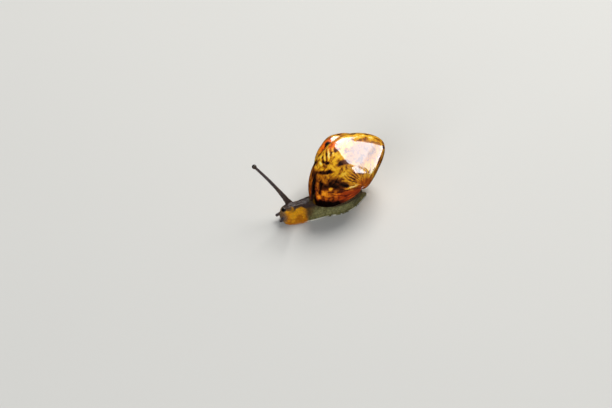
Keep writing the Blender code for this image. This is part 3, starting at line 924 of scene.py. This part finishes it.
def skinMaterial():
    made, tree, shader = newMaterial("wetSkin", {
        "Roughness": 0.45, "Specular IOR Level": 0.3,
        "Coat Weight": 0.7, "Coat Roughness": 0.07, "Coat IOR": 1.4,
        "Subsurface Weight": 0.20, "Subsurface Radius": (1.0, 0.6, 0.25), "Subsurface Scale": 0.5 * mm,
    })
    place = scaled(objectPlace(tree), 1.0 / mm)
    x, y, z = partsOf(place)
    feeler, mantle = attributeOf(tree, "feeler"), attributeOf(tree, "mantle")
    cloud = noise(place, 0.9, 4.0, 0.6)
    speck = noise(place, 5.5, 3.0, 0.65)
    groove = ramp(grainOf(x, y, z, skinSizes), 0.16, 0.0)
    foot = tint(*skinTones["foot"], ramp(cloud, 0.35, 0.65))
    # a paler band along the middle of the foot's side: a painted sheen
    foot = tint(foot, skinTones["footSheen"], bell(z, 1.2, 0.55) * (ramp(y, -1.0, 2.5) * 0.35 + 0.30))
    foot = tint(foot, skinTones["flank"], ramp(y, 1.5, -2.0) * ramp(z, 1.5, 2.6) * 0.7)
    foot = tint(foot, skinTones["tail"], ramp(y, *skinZones["tail"]) * ramp(z, 0.5, 1.2) * 0.7)
    foot = tint(foot, skinTones["footSpecks"], ramp(speck, 0.52, 0.70) * 0.5)
    # the crest parts the dark back from the amber side of the head
    crest = ramp(y, -3.6, -4.6) * skinZones["crestRise"] + skinZones["crest"]
    ragged = (cloud - 0.5) * 0.6
    headSide = ramp(y + ragged, *skinZones["headEnds"]) * ramp(z - crest + ragged, 0.40, 0.0)
    amber = tint(*skinTones["amber"], ramp(cloud + (z - 1.6) * 0.12, 0.35, 0.65))
    colour = tint(foot, amber, headSide * ramp(y, -8.2, -7.4, 0.5, 1.0))
    neckBand = bell(y, skinZones["neckBand"], 0.75) * ramp(z, 0.5, 1.4)
    colour = tint(colour, skinTones["neckBand"], neckBand * 0.75)
    back = ramp(z - crest + ragged, 0.0, 0.40) * ramp(y, *skinZones["backEnds"])
    colour = tint(colour, tint(*skinTones["back"], cloud), back)
    snout = ramp(y + (cloud - 0.5), *skinZones["snout"])
    colour = tint(colour, tint(*skinTones["snout"], ramp(speck, 0.4, 0.65)), snout * 0.85)
    colour = tint(colour, tint(*skinTones["feeler"], ramp(speck, 0.4, 0.7)), feeler)
    leftRoot = ramp(x, 0.7, 1.2) * ramp(z, 4.5, 3.5) * ramp(z, 2.2, 2.6) * ramp(feeler, 0.0, 0.35)
    colour = tint(colour, amber, leftRoot * 0.75)
    # under the shell's mouth: the mantle's own dark brown, deepened as painted shade
    colour = tint(colour, tint(*skinTones["mantle"], ramp(speck, 0.4, 0.65)), mantle)
    colour = tint(colour, skinTones["groove"], groove * 0.45 * (1.0 - feeler) * (1.0 - headSide * 0.7))
    # a pale broken line along the sole's rim: a painted wet glint
    soleGlint = ramp(z, *skinZones["soleGlint"]) * ramp(noise(place, 1.0, 2.0), 0.38, 0.50)
    colour = tint(colour, skinTones["soleGlint"], soleGlint * ramp(y, -4.4, -3.2, 0.10, 0.80))
    plug(colour, shader.inputs["Base Color"])
    plug(ramp(speck, 0.3, 0.7, 0.30, 0.48), shader.inputs["Roughness"])
    plug(reliefOf(tree, noise(place, 9.0, 3.0), 0.30, 0.03 * mm), shader.inputs["Normal"])
    return made


def loftBody():
    shape = bmesh.new()
    first, last = bodyPlan["stations"][0][0], bodyPlan["stations"][-1][0]
    loftInto(shape, [bodyRing(y) for y in np.linspace(first, last, bodyPlan["rings"])])
    loftInto(shape, mantleRings())
    for plan in feelerPlans:
        centres, radii = feelerCurve(plan, feelerSizes["rings"])
        # a root inside the head, a flare where the feeler leaves it and a tip inside the bulb
        root = centres[0] - (centres[1] - centres[0]).normalized() * plan["root"]
        tip = centres[-1] + (centres[-1] - centres[-2]).normalized() * plan["tip"]
        radii = [radius + plan["flare"] * math.exp(-index / feelerSizes["flareRings"])
                 for index, radius in enumerate(radii)]
        widths = [radii[0] * feelerSizes["rootTaper"]] + radii + [radii[-1]]
        loftInto(shape, tubeRings([root] + centres + [tip], widths, feelerSizes["sides"]))
    bmesh.ops.recalc_face_normals(shape, faces=shape.faces)
    return meshFrom(shape, "skinBench")


def growTogether(bench):
    # one closed surface round all the lofts
    grown = bench.modifiers.new("grown", "REMESH")
    grown.mode = "VOXEL"
    grown.voxel_size = bodyPlan["voxel"]
    depsgraph = bpy.context.evaluated_depsgraph_get()
    bench.data = bpy.data.meshes.new_from_object(bench.evaluated_get(depsgraph), depsgraph=depsgraph)
    bench.modifiers.clear()
    return bench.data


def swell(mesh):
    points = pointsOf(mesh)
    normals = np.zeros(len(points) * 3)
    mesh.vertex_normals.foreach_get("vector", normals)
    for centre, spread, height in skinForms:
        share = np.exp(-(((points - np.array(centre)) / np.array(spread)) ** 2).sum(axis=1))
        points = points + normals.reshape(-1, 3) * (share * height)[:, None]
    mesh.attributes["position"].data.foreach_set("vector", points.ravel())
    return points


def nearMouth(points):
    # 1 on the mantle under the shell's mouth, falling to 0 on the body below it; it carries the mantle's
    # dark brown and painted shade under the shell
    inverse = np.array(shellPlacement().inverted())
    local = points @ inverse[:3, :3].T + inverse[:3, 3]
    near = np.clip((mantlePlan["reach"] + local[:, 1]) / mantlePlan["fade"], 0, 1)
    behind = np.clip((points[:, 1] - mantlePlan["front"]) / mantlePlan["frontFade"], 0, 1)
    return near * behind * (points[:, 2] > mantlePlan["above"])


def buildSkin():
    bench = placed("skinBench", loftBody())
    solid = growTogether(bench)
    points = swell(solid)
    keep(solid, "feeler", nearFeelers(points))
    keep(solid, "mantle", nearMouth(points))
    finish = skinMaterial()
    solid.materials.clear()
    mesh = runTree(bench, skinTree(finish), skinSizes)
    bpy.data.objects.remove(bench)
    mesh.name = "skin"
    mesh.transform(Matrix.Scale(mm, 4))
    covered = [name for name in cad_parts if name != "shell" and not name.startswith("eye")]
    print("skin made,", len(mesh.polygons), "faces")
    return pieceOf("skin", mesh, covered)


eyePlan = {  # mm
    "bulb": 0.42, "length": 0.50, "pinch": 0.10, "sides": 48, "rings": 30,
    "skin": ((0.045, 0.034, 0.028), (0.11, 0.085, 0.065)),
    "pupil": (0.004, 0.003, 0.003), "pupilEdge": (0.58, 0.78),
}


def eyeMaterial():
    made, tree, shader = newMaterial("eyeBulb", {
        "Roughness": 0.22, "Coat Weight": 1.0, "Coat Roughness": 0.05,
        "Subsurface Weight": 0.15, "Subsurface Radius": (1.0, 0.7, 0.5), "Subsurface Scale": 0.2 * mm,
    })
    share = attributeOf(tree, "forward")
    speck = noise(scaled(objectPlace(tree), 1.0 / mm), 7.0, 3.0)
    bulb = tint(*eyePlan["skin"], ramp(speck, 0.35, 0.7))
    colour = tint(bulb, eyePlan["pupil"], ramp(share + (speck - 0.5) * 0.1, *eyePlan["pupilEdge"]))
    plug(colour, shader.inputs["Base Color"])
    return made


def buildEyes():
    finish = eyeMaterial()
    bulb, sides = eyePlan["bulb"], eyePlan["sides"]
    made = []
    for plan in feelerPlans:
        if "eye" not in plan:
            continue
        centres, radii = feelerCurve(plan, feelerSizes["rings"])
        along = (centres[-1] - centres[-2]).normalized()
        low, high = (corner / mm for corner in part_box(plan["eye"]))
        middle = (low + high) * 0.5
        rings, shares = [], []
        for index in range(eyePlan["rings"]):
            turn = math.pi * (0.5 + index) / eyePlan["rings"]
            ahead = -math.cos(turn)  # -1 at the stalk, 1 at the front
            radius = bulb * math.sin(turn) * (1.0 - eyePlan["pinch"] * max(0.0, -ahead))
            reach = eyePlan["length"] / bulb if ahead < 0 else 1.0
            centre = middle + along * (ahead * bulb * reach)
            rings.append(tubeRings([centre - along, centre, centre + along], [radius] * 3, sides)[1])
            shares.append(ahead)
        shape = bmesh.new()
        loftInto(shape, rings)
        bmesh.ops.recalc_face_normals(shape, faces=shape.faces)
        shape.transform(Matrix.Scale(mm, 4))
        mesh = meshFrom(shape, f"{plan['eye']}_bulb")
        keep(mesh, "forward", np.repeat(np.array(shares), sides))
        mesh.materials.append(finish)
        made.append(pieceOf(mesh.name, mesh, [plan["eye"]]))
    print("eyes made")
    return made


def lightOnly(sources, name, pieces):
    seen = bpy.data.collections.new(name)
    for piece in pieces:
        seen.objects.link(piece)
    for source in sources:
        source.light_linking.receiver_collection = seen


shell = buildShell()
skin = buildSkin()
eyes = buildEyes()
lightOnly(stageCards, "seesCards", [shell])
lightOnly([bpy.data.objects["sparkle"]], "seesSparkle", [skin, *eyes])
print("panels and sparkle linked to their pieces")
